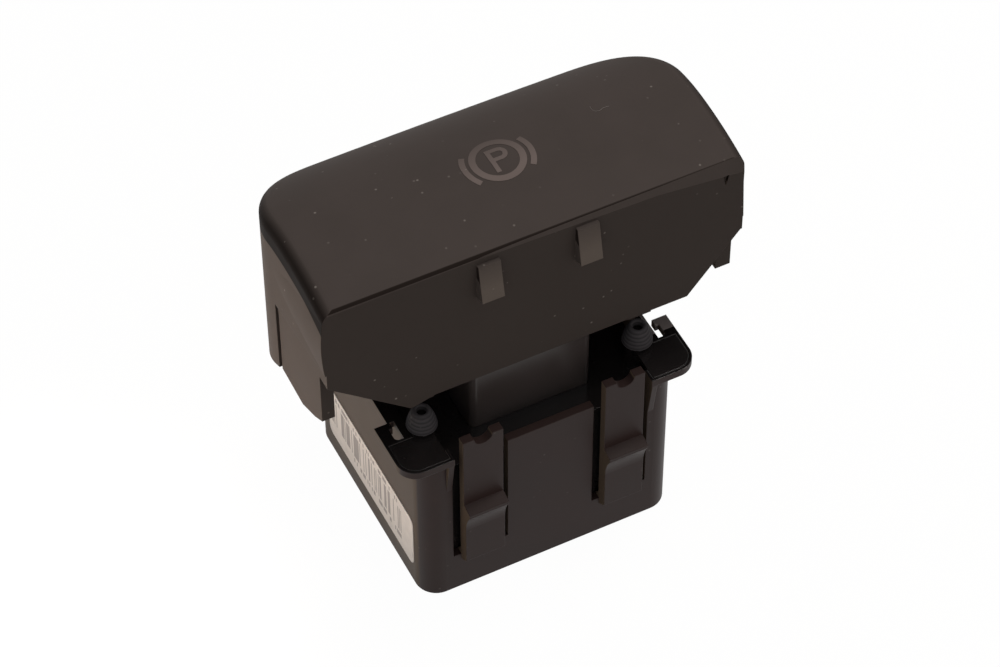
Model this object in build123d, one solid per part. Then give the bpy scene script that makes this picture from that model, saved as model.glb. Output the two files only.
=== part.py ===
from build123d import *
import math
import os

os.makedirs("parts", exist_ok=True)

# Electric parking brake switch. Millimetres, +Z up, front of the switch at -Y.
# The origin is the middle of the housing's bottom face.

# housing
housing_width = 48.0
housing_depth = 44.0
housing_wall = 1.5
housing_corner = 4.0
panel_top = 35.1
flange_top = 37.3
flange_thickness = 1.5
rim_reach = 1.2
rim_inset = 2.0
rim_end_gap = 3.0
seat_post = 3.4

# corner lugs, with a hook slot and a recess for the guide frame's pad
lug_side_reach = 3.6
lug_front_reach = 1.2
lug_length = 12.0
lug_gap = 0.9
lug_corner = 3.6
hook_slot_width = 1.5
hook_slot_length = 4.0
hook_tip_reach = 0.7
hook_tip_length = 1.3
pad_depth = 0.8
pad_margin = 0.6
gusset_thickness = 1.0
gusset_height = 5.0
gusset_inset = 2.6
front_gusset_height = 8.0

# spring tongues in the front and rear walls
tongue_corner_gap = 7.0
tongue_width = 7.4
tongue_slot = 1.5
tongue_thickness = 1.6
tongue_proud = 1.3
tongue_top = 40.7
tongue_root = 9.1
tongue_taper = 1.5
tongue_notch = 1.7
plate_proud = 0.6
plate_top = 17.8
barb_proud = 2.1
barb_ledge = 23.5
barb_slope = 0.6
barb_lip = 0.8

# slider and its guide
carriage_width = 22.7
carriage_depth = 29.3
carriage_wall = 2.0
carriage_top = 62.0
carriage_roof = 2.0
carriage_corner = 1.2
foot_gap = 0.5
foot_depth = 26.0
foot_z = 18.0
foot_thickness = 2.0
foot_corner = 2.0
running_fit = 0.08
deck_top = 32.0
deck_thickness = 2.0
sleeve_wall = 1.5
curtain_wall = 1.0
stroke = 2.5
stop_gap = 0.3

# rubber buffers on their posts
buffer_y = 14.4
buffer_z = 38.2
buffer_height = 3.6
buffer_base_radius = 2.55
buffer_top_radius = 1.95
buffer_bore_radius = 1.1
buffer_collar = 0.8
post_width = 4.0
post_rib = 1.4
post_wall_gap = 0.2
post_pin_radius = 0.95
post_pin_height = 2.4

# bottom cover, connector and board
fit_gap = 0.1
cover_thickness = 2.0
board_z = 9.5
board_thickness = 1.6
board_side_margin = 0.5
board_end_margin = 1.4
socket_width = 18.0
socket_depth = 7.0
socket_y = 10.0
socket_roof = 1.5
socket_wall = 1.4
latch_width = 4.0
latch_depth = 0.8
pin_pitch = 2.54
pin_size = 0.64
pin_columns = 3
pin_tip_z = 4.6
pin_tail = 1.2
screw_x = 11.0
screw_y = -12.0
screw_radius = 1.0
screw_length = 6.0
screw_head_radius = 2.0
screw_head_height = 1.4
stand_radius = 2.6
led_height = 0.9
symbol_led_width = 2.8
symbol_led_depth = 3.2
status_led_width = 1.6
status_led_depth = 2.0
status_led_y = -5.0
sensor_size = 3.0
sensor_height = 1.0
sensor_pitch = 4.4
sensor_y = -10.6

# springs
spring_radius = 2.0
spring_wire = 0.6
spring_side_gap = 0.4
spring_pin_radius = 1.3
spring_pin_height = 1.6
spring_seat_lip = 0.1
upper_turns = 6
lower_turns = 4
points_per_turn = 12
spring_seat_z = 12.6
spring_gap = 0.15

# cap
cap_length = 76.0
cap_front = -16.5
cap_back = 20.0
cap_back_bow = 1.6
cap_wall = 1.7
cap_skin = 2.2
cap_back_corner = 15.0
cap_end_fillet = 2.2
cap_front_z = 77.2
cap_crown = 1.9
cap_peak = 14.6
cap_fall = 9.3
cap_bottom = 39.8
skirt_z = 47.2
skirt_left_x = 23.0
skirt_step = 1.2
skirt_step_length = 4.4
skirt_right_x = 28.4
skirt_end_z = 59.3
side_bottom_front = 47.5
side_bottom_slit = 43.8
side_bottom_back_y = 10.5
tab_setback = 3.0
tab_width = 2.6
tab_depth = 2.0
crease_front_z = 62.4
crease_back_z = 60.0
crease_depth = 0.3
end_swell = 0.4
swell_low = 0.3
swell_top = 71.0
slit_y = 2.5
slit_width = 0.5
slit_depth = 0.6
edge_roll = 0.65
lip_lean = 0.5
lip_end_height = 3.8
lip_middle_height = 1.6
lip_start_height = 0.2
lip_middle_x = 22.0
lip_start_x = -20.0
mark_x = 34.6
mark_drop = 3.2
mark_width = 1.1
mark_height = 2.4
mark_depth = 0.5
boss_inner_x = 6.9
boss_width = 4.0
boss_drop = 1.8
boss_height = 7.2
boss_proud = 2.2
boss_top_proud = 0.7
boss_heel = 0.8
collar_gap = 0.15
collar_wall = 1.6
collar_bottom = 52.0
rib_thickness = 1.4
rib_bottom = 62.0
cross_bottom = 68.0
foot_half = 2.2
catch_width = 8.0
catch_height = 2.4
catch_proud = 1.1
catch_edge = 0.5
catch_z = 55.0
catch_gap = 0.2

# label
label_length = 34.0
label_height = 12.7
label_corner = 1.6
label_thickness = 0.12
label_front = 4.3
label_z = 4.6

# light guide and sensing
guide_radius = 3.0
guide_collar = 1.2
guide_head = 9.0
guide_head_depth = 7.0
guide_head_thickness = 1.6
guide_top_gap = 0.75
guide_side_gap = 1.1
magnet_width = 6.0
magnet_depth = 3.0
magnet_height = 4.0
magnet_wall = 1.2
magnet_fit = 0.05

far = 100.0  # well beyond the part
half_x = housing_width / 2
half_y = housing_depth / 2
inner_x = half_x - housing_wall
inner_y = half_y - housing_wall
inner_corner = housing_corner - housing_wall
tongue_outer_x = half_x - tongue_corner_gap
tongue_inner_x = tongue_outer_x - tongue_width
tongue_x = (tongue_inner_x + tongue_outer_x) / 2
lug_x0 = tongue_outer_x + lug_gap
lug_x1 = half_x + lug_side_reach
lug_y0 = -half_y - lug_front_reach
lug_y1 = lug_y0 + lug_length
lug_z0 = flange_top - flange_thickness
pad_x0 = tongue_outer_x + tongue_slot + pad_margin
pad_z0 = flange_top - pad_depth
buffer_x = inner_x - post_wall_gap - post_width / 2
deck_bottom = deck_top - deck_thickness
foot_top = foot_z + foot_thickness
foot_width = 2 * (inner_x - foot_gap)
sleeve_bottom = foot_top + stroke + stop_gap
sleeve_x = carriage_width / 2 + running_fit + sleeve_wall
spring_x = sleeve_x + spring_side_gap + spring_radius
spring_seat = 2 * (spring_radius + spring_seat_lip)
board_top = board_z + board_thickness
end_x = cap_length / 2
peak_y = cap_front + cap_peak
boss_top = cap_front_z - boss_drop
mark_z = cap_front_z - mark_drop


def block(x0, x1, y0, y1, z0, z1):
    """Box between two corners."""
    return Pos((x0 + x1) / 2, (y0 + y1) / 2, (z0 + z1) / 2) * Box(x1 - x0, y1 - y0, z1 - z0)


def rounded_block(width, depth, z0, z1, radius):
    """Box centred on the axis with round vertical corners."""
    return Pos(0, 0, z0) * extrude(RectangleRounded(width, depth, radius), z1 - z0)


def post(x, y, z0, z1, radius):
    """Round post between two heights."""
    return Pos(x, y, (z0 + z1) / 2) * Cylinder(radius, z1 - z0)


def cross_post(x, y, z0, z1, width, rib):
    """Post with a plus-shaped section."""
    along = block(x - width / 2, x + width / 2, y - rib / 2, y + rib / 2, z0, z1)
    across = block(x - rib / 2, x + rib / 2, y - width / 2, y + width / 2, z0, z1)
    return along + across


def side_prism(points, x0, x1):
    """Prism along X of a (y, z) outline."""
    face = make_face(Polyline([(y, z) for y, z in points], close=True))
    return Pos(x0, 0, 0) * extrude(Plane.YZ * face, x1 - x0)


def front_prism(points, y0, y1):
    """Prism along Y of an (x, z) outline."""
    face = make_face(Polyline([(x, z) for x, z in points], close=True))
    return Pos(0, y0, 0) * extrude(Plane.XZ * face, -(y1 - y0))


def both_sides(shape):
    """The shape and its mirror image on the other side."""
    return shape + mirror(shape, Plane.YZ)


def four_corners(shape):
    """The shape and its mirror images in the other three quarters."""
    return both_sides(shape + mirror(shape, Plane.XZ))


def save(shape, name):
    """Write one node as one STEP file."""
    if isinstance(shape, (list, ShapeList)):
        shape = Compound(children=list(shape))
    export_step(shape, f"parts/{name}.step")


def tongue():
    """One spring tongue, thickened below its barb, at the front right."""
    face_y = -half_y - tongue_proud
    back_y = face_y + tongue_thickness
    plate_y = face_y - plate_proud
    edge_y = face_y - barb_proud
    lip_z = barb_ledge - barb_lip
    hollow = ThreePointArc(
        (edge_y, lip_z),
        (plate_y - 0.35 * (barb_proud - plate_proud), (0.6 * lip_z + 0.4 * plate_top)),
        (plate_y, plate_top),
    )
    rest = Polyline(
        (plate_y, plate_top),
        (plate_y, tongue_root),
        (-half_y, tongue_root - tongue_taper),
        (-inner_y, tongue_root - 2 * tongue_taper),
        (-inner_y, tongue_root),
        (back_y, tongue_root + tongue_taper),
        (back_y, tongue_top),
        (face_y, tongue_top),
        (face_y, barb_ledge + barb_slope),
        (edge_y, barb_ledge),
        (edge_y, lip_z),
    )
    outline = Plane.YZ * make_face(hollow + rest)
    body = Pos(tongue_inner_x, 0, 0) * extrude(outline, tongue_width)
    notch_length = 4 * (tongue_thickness + tongue_proud)
    notch = Pos(tongue_x, -half_y, tongue_top) * Rot(90, 0, 0)
    return body - notch * Cylinder(tongue_notch, notch_length)


def lug():
    """One corner lug with its two gussets, at the front right."""
    plate = block(lug_x0, lug_x1, lug_y0, lug_y1, lug_z0, flange_top)
    plate = fillet(outer_corner(plate), lug_corner)
    side_y = -half_y + gusset_inset
    side = front_prism(
        [
            (inner_x, lug_z0 - gusset_height),
            (half_x, lug_z0 - gusset_height),
            (lug_x1 - pad_margin, lug_z0),
            (inner_x, lug_z0),
        ],
        side_y,
        side_y + gusset_thickness,
    )
    front_x = tongue_outer_x + tongue_slot + running_fit
    front = side_prism(
        [
            (-inner_y, lug_z0 - front_gusset_height),
            (-half_y, lug_z0 - front_gusset_height),
            (lug_y0, lug_z0),
            (-inner_y, lug_z0),
        ],
        front_x,
        front_x + gusset_thickness,
    )
    return plate + side + front


def outer_corner(plate):
    """Vertical edge at the front right corner."""
    return plate.edges().filter_by(Axis.Z).sort_by(Axis.X)[-2:].sort_by(Axis.Y)[0]


def hook_slot():
    """Slot between the wall and the lug's arm, which ends in a small inward tip."""
    x1 = half_x + hook_slot_width
    slot = block(half_x, x1, lug_y1 - hook_slot_length, lug_y1, lug_z0, flange_top)
    slot = fillet(outer_corner(slot), hook_slot_width / 2)
    tip = block(x1 - hook_tip_reach, x1, lug_y1 - hook_tip_length, lug_y1, lug_z0, flange_top)
    return slot - tip


def pad(grow):
    """Corner pad that lies in the lug's recess, grown on every side."""
    plate = block(
        pad_x0 - grow, lug_x1 - pad_margin + grow, lug_y0 + pad_margin - grow,
        lug_y1 - hook_slot_length - pad_margin + grow, pad_z0, flange_top,
    )
    return fillet(outer_corner(plate), lug_corner - pad_margin + grow)


def make_housing():
    """Moulded tub, open above and below."""
    shape = rounded_block(housing_width, housing_depth, 0, flange_top, housing_corner)
    rim_y = half_y - rim_inset
    right_y = -lug_y1 - rim_end_gap
    shape = shape + block(-half_x - rim_reach, -inner_x, -rim_y, rim_y, lug_z0, flange_top)
    shape = shape + block(inner_x, half_x + rim_reach, -right_y, right_y, lug_z0, flange_top)
    shape = shape + four_corners(lug()) - four_corners(hook_slot())
    cavity = rounded_block(2 * inner_x, 2 * inner_y, -1, flange_top + 1, inner_corner)
    drop = block(-lug_x0, lug_x0, -far, far, panel_top, far)
    shape = shape - cavity - drop - four_corners(pad(fit_gap))
    window = block(
        tongue_inner_x - tongue_slot, tongue_outer_x + tongue_slot,
        -far, -inner_y + housing_wall, tongue_root, far,
    )
    shape = shape - four_corners(window) + four_corners(tongue())
    corner = block(
        inner_x - seat_post, inner_x + fit_gap, -inner_y - fit_gap, -inner_y + seat_post,
        cover_thickness, deck_bottom,
    )
    return shape + four_corners(corner)


def make_guide_frame():
    """Glossy insert: deck, slider sleeve, curtains behind the slots, posts and corner pads."""
    wide = inner_x - fit_gap
    deep = inner_y - fit_gap
    deck = rounded_block(2 * wide, 2 * deep, deck_bottom, deck_top, inner_corner)
    opening_x = carriage_width + 2 * running_fit
    opening_y = carriage_depth + 2 * running_fit
    sleeve = rounded_block(
        2 * sleeve_x, opening_y + 2 * sleeve_wall, sleeve_bottom, deck_top,
        carriage_corner + running_fit + sleeve_wall,
    )
    hole = rounded_block(opening_x, opening_y, 0, far, carriage_corner + running_fit)
    curtain_x = inner_x - seat_post - 3 * fit_gap
    curtain = block(
        -curtain_x, curtain_x, -deep, -deep + curtain_wall,
        cover_thickness + 3 * fit_gap, deck_top,
    )
    inner_pad = block(
        pad_x0, wide, -deep, -buffer_y + post_width / 2, pad_z0, flange_top
    )
    corner = cross_post(buffer_x, -buffer_y, deck_bottom, buffer_z, post_width, post_rib)
    pin = post(buffer_x, -buffer_y, buffer_z, buffer_z + post_pin_height, post_pin_radius)
    stub = post(spring_x, 0, deck_bottom - spring_pin_height, deck_top, spring_pin_radius)
    shape = deck + sleeve + curtain + mirror(curtain, Plane.XZ) + both_sides(stub) - hole
    return shape + four_corners(pad(0) + inner_pad + corner + pin)


def make_buffer(x, y):
    """Hollow rubber bell pressed over the post's pin."""
    outline = Polyline(
        (buffer_bore_radius, 0),
        (buffer_base_radius, 0),
        (buffer_base_radius, buffer_collar),
        (buffer_top_radius, buffer_height),
        (buffer_bore_radius, buffer_height),
        close=True,
    )
    bell = revolve(Plane.XZ * make_face(outline), Axis.Z)
    return Pos(x, y, buffer_z) * bell


def make_bottom_cover():
    """Floor with the connector socket, board stand-offs and spring seats."""
    floor = rounded_block(
        2 * (inner_x - fit_gap), 2 * (inner_y - fit_gap), 0, cover_thickness, inner_corner
    )
    shroud = Pos(0, socket_y, board_z / 2) * Box(
        socket_width + 2 * socket_wall, socket_depth + 2 * socket_wall, board_z
    )
    stand = post(screw_x, screw_y, 0, board_z, stand_radius)
    stand = stand - post(screw_x, screw_y, cover_thickness, board_z, screw_radius)
    seat = Pos(spring_x, 0, spring_seat_z / 2) * Box(spring_seat, spring_seat, spring_seat_z)
    pin = post(spring_x, 0, 0, spring_seat_z + spring_pin_height, spring_pin_radius)
    shape = floor + shroud + both_sides(stand + seat + pin)
    roof_z = board_z - socket_roof
    back = socket_y + socket_depth / 2
    cavity = block(-socket_width / 2, socket_width / 2, back - socket_depth, back, 0, roof_z)
    latch = block(
        -latch_width / 2, latch_width / 2, back, back + latch_depth, 0, roof_z - socket_roof
    )
    shape = shape - cavity - latch
    for x, y in pin_places():
        shape = shape - pin_hole(x, y)
    return shape


def pin_places():
    """Centres of the connector pins, two rows."""
    places = []
    for row in (-0.5, 0.5):
        for column in range(pin_columns):
            x = (column - (pin_columns - 1) / 2) * pin_pitch
            places.append((x, socket_y + row * pin_pitch))
    return places


def pin_hole(x, y):
    """Square hole for one pin, through the socket's roof and the board."""
    width = pin_size + fit_gap
    return Pos(x, y, board_z) * Box(width, width, 4 * board_thickness)


def make_circuit_board():
    """Board on the stand-offs, with holes for pins, screws and spring seats."""
    width = 2 * (inner_x - board_side_margin)
    depth = 2 * (inner_y - board_end_margin)
    shape = rounded_block(width, depth, board_z, board_top, inner_corner - board_side_margin)
    corner = seat_post + 4 * fit_gap
    notch = block(inner_x - corner, far, -far, -inner_y + corner, 0, far)
    shape = shape - four_corners(notch)
    opening = spring_seat + 3 * fit_gap
    seat_hole = Pos(spring_x, 0, board_z) * Box(opening, opening, 4 * board_thickness)
    screw_hole = post(screw_x, screw_y, 0, far, screw_radius + 2 * fit_gap)
    shape = shape - both_sides(seat_hole) - both_sides(screw_hole)
    for x, y in pin_places():
        shape = shape - pin_hole(x, y)
    return shape


def make_terminal_pins():
    """Square pins from the socket up through the board."""
    half = pin_size / 2
    pins = []
    for x, y in pin_places():
        pin = block(x - half, x + half, y - half, y + half, pin_tip_z, board_top + pin_tail)
        pins.append(chamfer(pin.faces().sort_by(Axis.Z)[0].edges(), half / 2))
    return pins


def make_board_screws():
    """Two pan-head screws in the stand-offs."""
    screws = []
    for side in (-1, 1):
        x = side * screw_x
        head = post(x, screw_y, board_top, board_top + screw_head_height, screw_head_radius)
        shank = post(
            x, screw_y, board_top - screw_length, board_top, screw_radius - fit_gap / 2
        )
        screws.append(head + shank)
    return screws


def make_chip(x, y, width, depth, height):
    """Small part on the board's upper face."""
    body = block(-width / 2, width / 2, -depth / 2, depth / 2, board_top, board_top + height)
    return Pos(x, y, 0) * chamfer(body.faces().sort_by(Axis.Z)[-1].edges(), height / 6)


def make_spring(x, z0, z1, turns):
    """Compression spring with its coils between two seats."""
    rise = z1 - z0 - spring_wire
    radius = spring_radius - spring_wire / 2
    steps = turns * points_per_turn
    points = []
    for step in range(steps + 1):
        angle = 2 * math.pi * step / points_per_turn
        points.append((radius * math.cos(angle), radius * math.sin(angle), rise * step / steps))
    path = Polyline(*points)
    start = Plane(origin=path @ 0, z_dir=path % 0)
    section = start * RegularPolygon(spring_wire / 2, 4)
    wire = sweep(section, path=path, transition=Transition.RIGHT)
    return Pos(x, 0, z0 + spring_wire / 2) * wire


def make_carriage():
    """Square slider tube with its foot plate, roof, magnet pocket and two catches."""
    tube = rounded_block(
        carriage_width, carriage_depth, foot_z, carriage_top, carriage_corner
    )
    foot = rounded_block(foot_width, foot_depth, foot_z, foot_top, foot_corner)
    inside = rounded_block(
        carriage_width - 2 * carriage_wall, carriage_depth - 2 * carriage_wall,
        0, carriage_top - carriage_roof, carriage_corner / 2,
    )
    half = magnet_width / 2
    front = sensor_y - magnet_depth / 2
    back = sensor_y + magnet_depth / 2
    holder = block(
        -half - magnet_wall, half + magnet_wall, -carriage_depth / 2 + carriage_wall / 2,
        back + magnet_wall, foot_z, foot_z + magnet_height + magnet_wall,
    )
    pocket = block(
        -half - magnet_fit, half + magnet_fit, front - magnet_fit, back + magnet_fit,
        0, foot_z + magnet_height,
    )
    shape = tube + foot - inside + holder - pocket + both_sides(side_catch())
    spring_hole = post(spring_x, 0, 0, foot_top + 1, spring_pin_radius - 2 * fit_gap)
    bore = post(0, 0, carriage_top - 2 * carriage_roof, far, guide_radius + fit_gap)
    return shape - both_sides(spring_hole) - bore


def side_catch():
    """Wedge on the slider's side that the cap's collar snaps over."""
    half = carriage_width / 2
    outline = [
        (half - carriage_wall / 2, catch_z),
        (half + catch_proud, catch_z),
        (half + catch_proud, catch_z + catch_edge),
        (half, catch_z + catch_height),
        (half - carriage_wall / 2, catch_z + catch_height),
    ]
    return front_prism(outline, -catch_width / 2, catch_width / 2)


def make_magnet():
    """Bar magnet in the slider's foot."""
    return block(
        -magnet_width / 2, magnet_width / 2,
        sensor_y - magnet_depth / 2, sensor_y + magnet_depth / 2,
        foot_z, foot_z + magnet_height,
    )


def make_light_guide():
    """Clear rod from the light source to the back of the symbol."""
    rod_z0 = board_top + led_height + stroke + stop_gap
    head_z1 = cap_front_z + cap_crown - cap_skin - guide_top_gap
    rod = post(0, 0, rod_z0, head_z1, guide_radius)
    collar_width = 2 * (guide_radius + guide_collar)
    collar = Pos(0, 0, carriage_top + guide_collar / 2) * Box(
        collar_width, collar_width, guide_collar
    )
    head = Pos(0, 0, head_z1 - guide_head_thickness) * extrude(
        RectangleRounded(guide_head, guide_head_depth, guide_collar), guide_head_thickness
    )
    return rod + collar + head


def make_label():
    """Paper label on the housing's left wall."""
    face = RectangleRounded(label_length, label_height, label_corner)
    sheet = extrude(Plane.YZ * face, label_thickness)
    middle_y = -half_y + label_front + label_length / 2
    return Pos(-half_x - label_thickness, middle_y, label_z + label_height / 2) * sheet


def arc_height(radius, top, y):
    """Height of a level-topped arc over the distance y from its peak."""
    return top - radius + math.sqrt(radius**2 - y**2)


def cap_profile(inset, drop):
    """Side outline of the cap: two arcs that meet level at the crown's peak."""
    y0 = cap_front + inset
    y1 = cap_back - inset + cap_wall / 2
    top = cap_front_z + cap_crown - drop
    depth = cap_back - peak_y
    front_radius = (cap_peak**2 + cap_crown**2) / (2 * cap_crown) - drop
    back_radius = (depth**2 + cap_fall**2) / (2 * cap_fall) - drop
    outline = Polyline((y1, arc_height(back_radius, top, y1 - peak_y)), (y1, 0), (y0, 0),
                       (y0, arc_height(front_radius, top, peak_y - y0)))
    for radius, start, end in ((front_radius, y0, peak_y), (back_radius, peak_y, y1)):
        points = [
            (y, arc_height(radius, top, y - peak_y)) for y in (start, (start + end) / 2, end)
        ]
        outline = outline + ThreePointArc(*points)
    return make_face(outline)


def cap_plan(inset):
    """Plan outline: straight front, bowed back, large rear corners."""
    x1 = end_x - inset
    y0 = cap_front + inset
    y1 = cap_back - inset
    back = ThreePointArc((x1, y1 - cap_back_bow), (0, y1), (-x1, y1 - cap_back_bow))
    rest = Polyline((-x1, y1 - cap_back_bow), (-x1, y0), (x1, y0), (x1, y1 - cap_back_bow))
    face = make_face(back + rest)
    rear = face.vertices().sort_by(Axis.Y)[-2:]
    return fillet(rear, cap_back_corner - inset)


def cap_body(inset, drop):
    """Solid of the cap's outline, brought inward by a wall and a skin."""
    crown = Pos(-far, 0, 0) * extrude(Plane.YZ * cap_profile(inset, drop), 2 * far)
    return extrude(cap_plan(inset), far) & crown


def round_ends(body):
    """Rounds the crown's ends and rear edge, and leaves its front edge sharp."""
    edges = []
    for face in body.faces().filter_by(lambda f: f.normal_at().Z > 0.5):
        for edge in face.edges():
            middle = edge.center()
            if abs(middle.X) > 1 or middle.Y > peak_y + cap_peak / 2:
                edges.append(edge)
    return fillet(edges, cap_end_fillet)


def skirt_cut():
    """What is cut away below the front wall's bottom edge."""
    outline = [
        (-far, 0),
        (-far, skirt_end_z),
        (-end_x, skirt_end_z),
        (-skirt_left_x, skirt_z - skirt_step),
        (-skirt_left_x + skirt_step_length, skirt_z),
        (skirt_right_x, skirt_z),
        (end_x, skirt_end_z),
        (far, skirt_end_z),
        (far, 0),
    ]
    return front_prism(outline, cap_front - far, cap_front + tab_setback)


def end_cut():
    """What is cut away below the right end wall's bottom edge."""
    y0 = cap_front + tab_setback
    bow_y = (y0 + slit_y) / 2
    outline = [
        (y0, 0),
        (y0, side_bottom_front),
        (y0 + tab_setback, side_bottom_front - tab_depth),
        (bow_y, side_bottom_slit - slit_depth),
        (slit_y, side_bottom_slit),
        (slit_y + slit_width, side_bottom_slit),
        (side_bottom_back_y, cap_bottom),
        (side_bottom_back_y, 0),
    ]
    return side_prism(outline, end_x / 2, far)


def end_slit():
    """Slit at the back of the right end wall's front panel."""
    return block(end_x - slit_depth, far, slit_y, slit_y + slit_width, 0, crease_back_z)


def panel_cut():
    """What sets an end wall back below its crease, at the right end."""
    outline = [(-far, 0), (-far, crease_front_z), (cap_front, crease_front_z)]
    outline = outline + [(slit_y, crease_back_z), (slit_y, 0)]
    return side_prism(outline, end_x - crease_depth, far)


def end_bar(section):
    """Swell of the right end wall with this section, full at the front, gone at the slit."""
    length = slit_y - cap_front
    bar = extrude(Plane.XZ * make_face(section), -length)
    turn = math.degrees(math.atan(end_swell / length))
    bar = Pos(end_x, cap_front, 0) * Rot(0, 0, turn) * bar
    return bar & block(0, far, cap_front, slit_y, 0, far)


def left_swell():
    """Swell of the left end wall above its crease."""
    low = crease_front_z
    high = cap_front_z - cap_end_fillet
    section = ThreePointArc((0, low), (end_swell, (low + high) / 2), (0, high))
    section = section + Polyline((0, high), (-end_swell, high), (-end_swell, low), (0, low))
    return mirror(end_bar(section), Plane.YZ)


def right_swell():
    """Swell of the right end wall, down to its lower edge, with a step at the crease."""
    section = Polyline(
        (-end_swell, cap_bottom),
        (swell_low, cap_bottom),
        (swell_low, crease_front_z),
        (end_swell, crease_front_z),
        (0, swell_top),
        (-end_swell, swell_top),
        close=True,
    )
    return end_bar(section)


def lip_cut():
    """Sliver that leans the top of the front wall back, tallest at the right end."""
    faces = []
    stations = (
        (lip_start_x, lip_start_height),
        (lip_middle_x, lip_middle_height),
        (end_x + end_swell, lip_end_height),
    )
    top = cap_front_z + 2 * lip_lean
    for x, height in stations:
        low = cap_front_z - height
        corners = [
            (x, cap_front - 1, low),
            (x, cap_front, low),
            (x, cap_front + lip_lean, top),
            (x, cap_front - 1, top),
        ]
        faces.append(make_face(Polyline(*corners, close=True)))
    return loft(faces, ruled=True)


def roll_cut():
    """What rounds the edge between the crown and the front wall."""
    slope = math.atan(2 * cap_crown / cap_peak)
    back = edge_roll * math.cos(slope)
    top = cap_front_z + edge_roll * math.sin(slope)
    radius = edge_roll * math.tan((math.pi / 2 + slope) / 2)
    reach = radius / math.hypot(radius, edge_roll)
    middle = (
        cap_front + radius * (1 - reach),
        cap_front_z - edge_roll + edge_roll * reach,
    )
    arc = ThreePointArc((cap_front, cap_front_z - edge_roll), middle, (cap_front + back, top))
    rest = Polyline(
        (cap_front + back, top),
        (cap_front + back, far),
        (cap_front - 1, far),
        (cap_front - 1, cap_front_z - edge_roll),
        (cap_front, cap_front_z - edge_roll),
    )
    return Pos(-far, 0, 0) * extrude(Plane.YZ * make_face(arc + rest), 2 * far)


def boss(x0):
    """Small wedge on the front wall, most proud at its lower end."""
    outline = [
        (cap_front + cap_wall / 2, boss_top),
        (cap_front - boss_top_proud, boss_top),
        (cap_front - boss_proud, boss_top - boss_height),
        (cap_front + cap_wall / 2, boss_top - boss_height - boss_heel),
    ]
    return side_prism(outline, x0, x0 + boss_width)


def tab(set_back):
    """Tab below the right end wall's front corner, set back from the wall's face."""
    y0 = cap_front + tab_setback
    top = skirt_end_z + tab_setback
    return block(
        end_x - tab_width, end_x - set_back, y0, y0 + tab_depth, side_bottom_front, top
    )


def make_cap():
    """Crowned shell with its skirt, tabs, bosses, collar, ribs and buffer feet."""
    inner = cap_body(cap_wall, cap_skin)
    shell = round_ends(cap_body(0, 0)) + left_swell() + right_swell() - inner
    shell = shell - block(-far, far, -far, far, 0, cap_bottom)
    mark = front_prism(
        [
            (mark_x - mark_width / 2, mark_z),
            (mark_x + mark_width / 2, mark_z),
            (mark_x, mark_z - mark_height),
        ],
        cap_front - 1,
        cap_front + mark_depth,
    )
    shell = shell - skirt_cut() - both_sides(end_cut() + end_slit())
    shell = shell - mirror(panel_cut(), Plane.YZ) - lip_cut() - roll_cut() - mark
    shell = shell + boss(boss_inner_x) + boss(-boss_inner_x - boss_width)
    shell = shell + tab(0) + mirror(tab(crease_depth), Plane.YZ)
    return shell + (inner & cap_inside())


def cap_inside():
    """Collar round the slider, stiffening ribs and the four buffer feet."""
    gap_x = carriage_width / 2 + collar_gap
    gap_y = carriage_depth / 2 + collar_gap
    out_x = gap_x + collar_wall
    out_y = gap_y + collar_wall
    collar = block(-out_x, out_x, -out_y, out_y, collar_bottom, far)
    collar = collar - block(-gap_x, gap_x, -gap_y, gap_y, 0, far)
    beam_y = guide_head_depth / 2 + guide_side_gap
    beam = block(-out_x, out_x, beam_y, beam_y + rib_thickness, carriage_top, far)
    window = block(
        -far, far, -catch_width / 2 - catch_gap, catch_width / 2 + catch_gap,
        catch_z - catch_gap, catch_z + catch_height + catch_gap,
    )
    collar = collar - window + beam + mirror(beam, Plane.XZ)
    long_rib = block(
        gap_x + collar_wall / 2, far, -rib_thickness / 2, rib_thickness / 2, rib_bottom, far
    )
    foot_z0 = buffer_z + buffer_height + stroke + stop_gap
    feet = cross_post(buffer_x, -buffer_y, foot_z0, far, 2 * foot_half, rib_thickness)
    cross = block(
        buffer_x - rib_thickness / 2, buffer_x + rib_thickness / 2,
        -buffer_y, buffer_y, cross_bottom, far,
    )
    return collar + both_sides(long_rib + cross) + four_corners(feet)


save(make_housing(), "housing")
save(make_guide_frame(), "guide_frame")
save(make_bottom_cover(), "bottom_cover")
save(make_buffer(-buffer_x, -buffer_y), "buffer_front_left")
save(make_buffer(buffer_x, -buffer_y), "buffer_front_right")
save(make_buffer(-buffer_x, buffer_y), "buffer_rear_left")
save(make_buffer(buffer_x, buffer_y), "buffer_rear_right")
save(make_circuit_board(), "circuit_board")
save(make_terminal_pins(), "terminal_pins")
save(make_board_screws(), "board_screws")
save(make_carriage(), "carriage")
save(make_magnet(), "sensor_magnet")
save(make_light_guide(), "light_guide")
save(make_cap(), "cap")
save(make_label(), "label")
for name, side in (("a", -0.5), ("b", 0.5)):
    sensor = make_chip(side * sensor_pitch, sensor_y, sensor_size, sensor_size, sensor_height)
    save(sensor, f"position_sensor_{name}")
save(make_chip(0, 0, symbol_led_width, symbol_led_depth, led_height), "symbol_led")
save(make_chip(0, status_led_y, status_led_width, status_led_depth, led_height), "status_led")
for name, side in (("left", -1), ("right", 1)):
    x = side * spring_x
    upper = make_spring(x, foot_top + spring_gap, deck_bottom, upper_turns)
    lower = make_spring(x, spring_seat_z, foot_z - spring_gap, lower_turns)
    save(upper, f"upper_spring_{name}")
    save(lower, f"lower_spring_{name}")
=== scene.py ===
import math

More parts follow.
